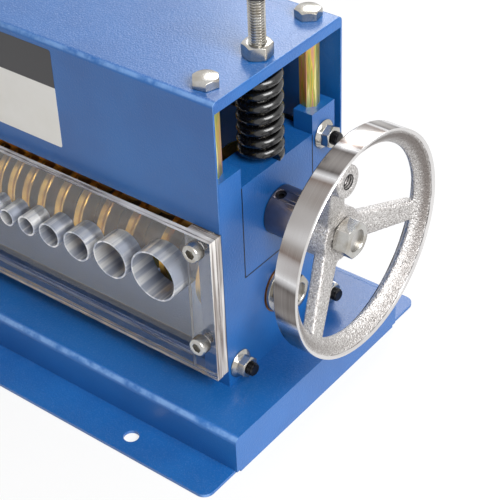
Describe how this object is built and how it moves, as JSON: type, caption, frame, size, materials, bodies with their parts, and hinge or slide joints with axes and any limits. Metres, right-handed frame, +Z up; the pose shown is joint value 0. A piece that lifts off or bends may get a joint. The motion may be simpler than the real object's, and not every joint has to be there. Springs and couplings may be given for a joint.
{
  "type": "electric cable stripper",
  "caption": "Bench cable stripper: geared blade and feeder shafts in a blue frame, sprung height setting, clear guard with graded feed tubes, handwheel and gear motor.",
  "frame": {"origin": "middle of the four base holes on the underside of the base flanges", "axes": "+X along the shafts toward the handwheel, -Y toward the feeding side, +Z up"},
  "size_m": [0.6505, 0.264, 0.3203],
  "materials": {
    "blue_paint": "gloss powder coat",
    "zinc_plate": "bright zinc plated",
    "yellow_zinc": "yellow passivated zinc",
    "black_oxide": "black oxide",
    "black_lacquer": "gloss black",
    "clear_sheet": "clear polished",
    "tube_metal": "polished",
    "ground_steel": "ground",
    "gold_steel": "gold coated",
    "bronze": "turned",
    "cast_aluminium": "sand cast, machined rim",
    "gearbox_metal": "satin",
    "motor_paint": "satin black paint",
    "black_plastic": "fine grain",
    "red_plastic": "gloss"
  },
  "bodies": {
    "frame": {"base": "blue_paint", "right_side_plate": "blue_paint", "left_side_plate": "blue_paint", "top_plate": "blue_paint", "top_cover": "blue_paint", "hex_columns": "yellow_zinc", "top_bolts": "zinc_plate", "lower_bushes": "bronze", "tie_rods": "black_oxide", "flange_nuts": "zinc_plate", "clear_guard": "clear_sheet", "guard_strips": "clear_sheet", "guard_screws": "zinc_plate", "feed_tube_1": "tube_metal", "feed_tube_2": "tube_metal", "feed_tube_3": "tube_metal", "feed_tube_4": "tube_metal", "feed_tube_5": "tube_metal", "feed_tube_6": "tube_metal", "feed_tube_7": "tube_metal", "feed_tube_8": "tube_metal", "feed_tube_9": "tube_metal", "feed_tube_10": "tube_metal", "feed_tube_11": "tube_metal", "adjusting_nuts": "zinc_plate", "right_spring": "black_lacquer", "left_spring": "black_lacquer", "gear_cover": "blue_paint", "gear_cover_screws": "zinc_plate", "gearbox": "gearbox_metal", "gearbox_foot": "black_oxide", "foot_bolts": "zinc_plate", "motor_body": "motor_paint", "fan_cover": "black_plastic", "switch_box": "black_plastic", "cable_gland": "black_plastic"},
    "carriage": {"right_bearing_block": "blue_paint", "left_bearing_block": "blue_paint", "upper_bushes": "bronze"},
    "upper_roll": {"upper_shaft": "ground_steel", "blade_discs": "gold_steel", "blade_sleeves": "ground_steel", "upper_gear": "ground_steel", "shaft_collar": "black_oxide", "set_screw": "black_oxide", "wheel_hub": "cast_aluminium", "wheel_spokes": "cast_aluminium", "wheel_rim": "cast_aluminium", "wheel_nut": "zinc_plate"},
    "lower_roll": {"lower_shaft": "ground_steel", "feed_rollers": "gold_steel", "roller_sleeves": "ground_steel", "lower_gear": "ground_steel", "end_washer": "zinc_plate", "end_nut": "zinc_plate", "shaft_coupling": "ground_steel"},
    "right_screw": {"right_adjusting_screw": "zinc_plate"},
    "left_screw": {"left_adjusting_screw": "zinc_plate"},
    "rocker": {"rocker": "red_plastic"},
    "stop_button": {"stop_button": "red_plastic"}
  },
  "joints": [
    {"name": "carriage_slide", "type": "slide", "parent": "frame", "child": "carriage", "axis": [0, 0, 1], "range_m": [0, 0.005], "deforming": ["right_spring", "left_spring"]},
    {"name": "drive_spin", "type": "hinge", "parent": "frame", "child": "lower_roll", "pos_m": [0.1, 0.0035, 0.0845], "axis": [1, 0, 0], "continuous": true},
    {"name": "blade_spin", "type": "hinge", "parent": "carriage", "child": "upper_roll", "pos_m": [0.1, 0.0035, 0.1525], "axis": [1, 0, 0], "continuous": true},
    {"name": "right_screw_turn", "type": "hinge", "parent": "carriage", "child": "right_screw", "pos_m": [0.255, 0.0035, 0.22], "axis": [0, 0, 1], "range_deg": [0, 1030]},
    {"name": "left_screw_turn", "type": "hinge", "parent": "carriage", "child": "left_screw", "pos_m": [-0.027, 0.0035, 0.22], "axis": [0, 0, 1], "range_deg": [0, 1030]},
    {"name": "rocker_tilt", "type": "hinge", "parent": "frame", "child": "rocker", "pos_m": [-0.24828, -0.0775, 0.089], "axis": [0, 1, 0], "range_deg": [-20, 0]},
    {"name": "stop_press", "type": "slide", "parent": "frame", "child": "stop_button", "axis": [0, 0, 1], "range_m": [-0.004, 0], "stiffness_N_per_m": 800}
  ],
  "couplings": [
    {"joint": "blade_spin", "follows": "drive_spin", "ratio": -1},
    {"joint": "right_screw_turn", "follows": "carriage_slide", "rad_per_m": 3590.4},
    {"joint": "left_screw_turn", "follows": "carriage_slide", "rad_per_m": 3590.4}
  ]
}
